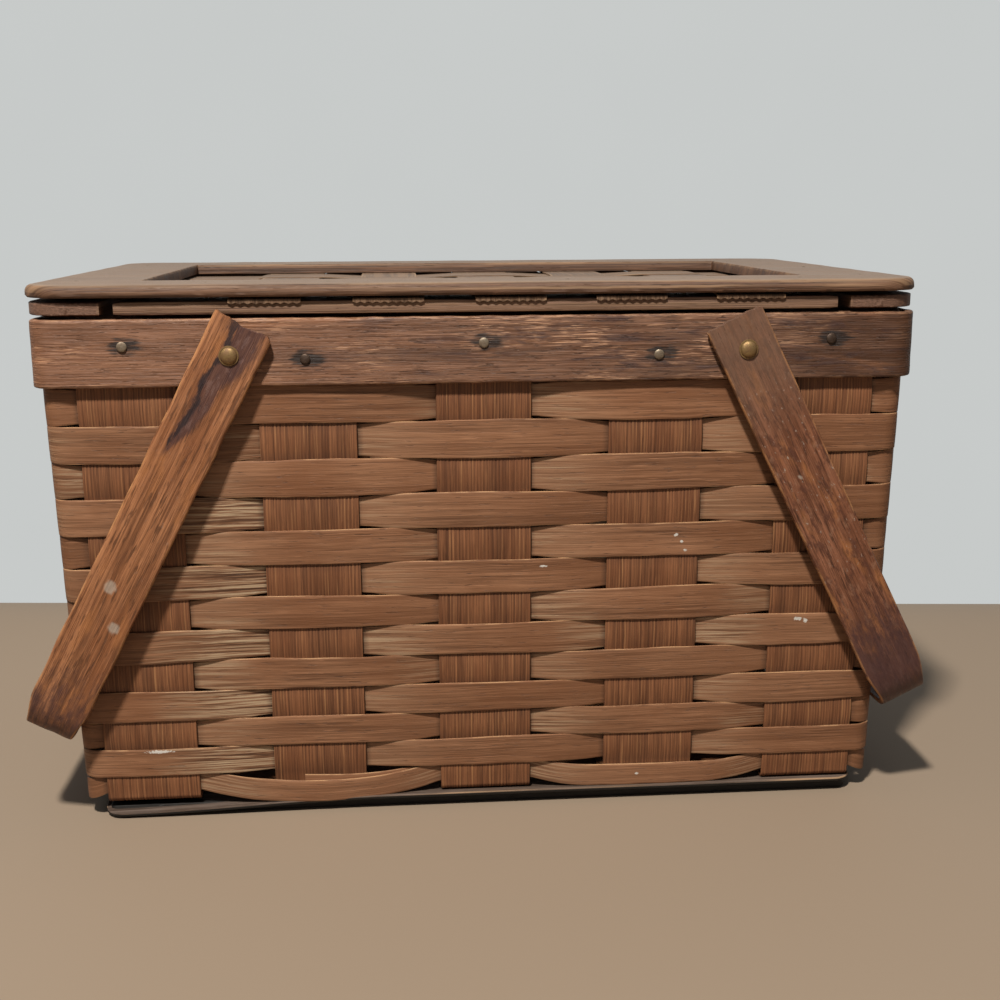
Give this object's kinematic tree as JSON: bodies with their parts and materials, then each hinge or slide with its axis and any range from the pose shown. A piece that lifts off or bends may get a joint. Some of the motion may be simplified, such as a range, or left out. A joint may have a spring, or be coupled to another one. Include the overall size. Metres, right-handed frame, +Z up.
{
  "type": "picnic basket",
  "caption": "Rectangular woven splint basket with a hinged framed lid and two bent-wood carrying handles that swing up from the ends.",
  "frame": {"origin": "middle of the basket on the surface that its runners stand on", "axes": "+X along the length to the right, +Y to the back where the hinges are, +Z up"},
  "size_m": [0.4837, 0.3068, 0.2825],
  "materials": {
    "weaver_splint": "weathered tan-brown splint, matte",
    "stake_splint": "orange-brown ribbed splint, matte",
    "lid_splint": "weathered splint, matte",
    "lid_wood": "dusty grey-brown hardwood, worn satin",
    "rim_wood": "brown bent hardwood, worn satin",
    "handle_wood": "reddish-brown bent hardwood, worn satin",
    "board_wood": "dusty grey-brown board, matte",
    "old_steel": "dull aged steel",
    "hinge_brass": "aged sheet brass",
    "rivet_brass": "dull aged brass"
  },
  "bodies": {
    "root": {"rim_band_outer": "rim_wood", "rim_band_inner": "rim_wood", "rim_nails": "old_steel", "weaver_01": "weaver_splint", "weaver_02": "weaver_splint", "weaver_03": "weaver_splint", "weaver_04": "weaver_splint", "weaver_05": "weaver_splint", "weaver_06": "weaver_splint", "weaver_07": "weaver_splint", "weaver_08": "weaver_splint", "weaver_09": "weaver_splint", "weaver_10": "weaver_splint", "weaver_11": "weaver_splint", "weaver_12": "weaver_splint", "weaver_13": "weaver_splint", "stake_cross_1": "stake_splint", "stake_cross_2": "stake_splint", "stake_cross_3": "stake_splint", "stake_cross_4": "stake_splint", "stake_cross_5": "stake_splint", "stake_long_1": "stake_splint", "stake_long_2": "stake_splint", "stake_long_3": "stake_splint", "bottom_board": "board_wood", "runner_front": "board_wood", "runner_back": "board_wood", "bottom_brads": "old_steel", "handle_rivets": "rivet_brass", "pivot_washers": "rivet_brass", "hinge_pins": "hinge_brass", "hinge_screws_rim": "hinge_brass", "hinge_leaf_rim_left": "hinge_brass", "hinge_leaf_rim_right": "hinge_brass"},
    "lid": {"lid_top": "lid_wood", "lid_brads": "old_steel", "hinge_screws_lid": "hinge_brass", "lid_strip_front": "lid_wood", "lid_strip_back": "lid_wood", "lid_strip_left": "lid_wood", "lid_strip_right": "lid_wood", "lid_splint_cross_1": "lid_splint", "lid_splint_cross_2": "lid_splint", "lid_splint_cross_3": "lid_splint", "lid_splint_cross_4": "lid_splint", "lid_splint_cross_5": "lid_splint", "lid_splint_long_1": "lid_splint", "lid_splint_long_2": "lid_splint", "lid_splint_long_3": "lid_splint", "lid_splint_long_4": "lid_splint", "hinge_leaf_lid_left": "hinge_brass", "hinge_leaf_lid_right": "hinge_brass"},
    "handle_left": {"handle_left": "handle_wood"},
    "handle_right": {"handle_right": "handle_wood"}
  },
  "joints": [
    {"name": "lid_hinge", "type": "hinge", "parent": "root", "child": "lid", "pos_m": [0, 0.1491, 0.2644], "axis": [-1, 0, 0], "range_deg": [0, 110]},
    {"name": "handle_left_swing", "type": "hinge", "parent": "root", "child": "handle_left", "pos_m": [-0.1255, 0, 0.248], "axis": [0, 1, 0], "range_deg": [0, 183.4]},
    {"name": "handle_right_swing", "type": "hinge", "parent": "root", "child": "handle_right", "pos_m": [0.1335, 0, 0.248], "axis": [0, -1, 0], "range_deg": [0, 186]}
  ]
}
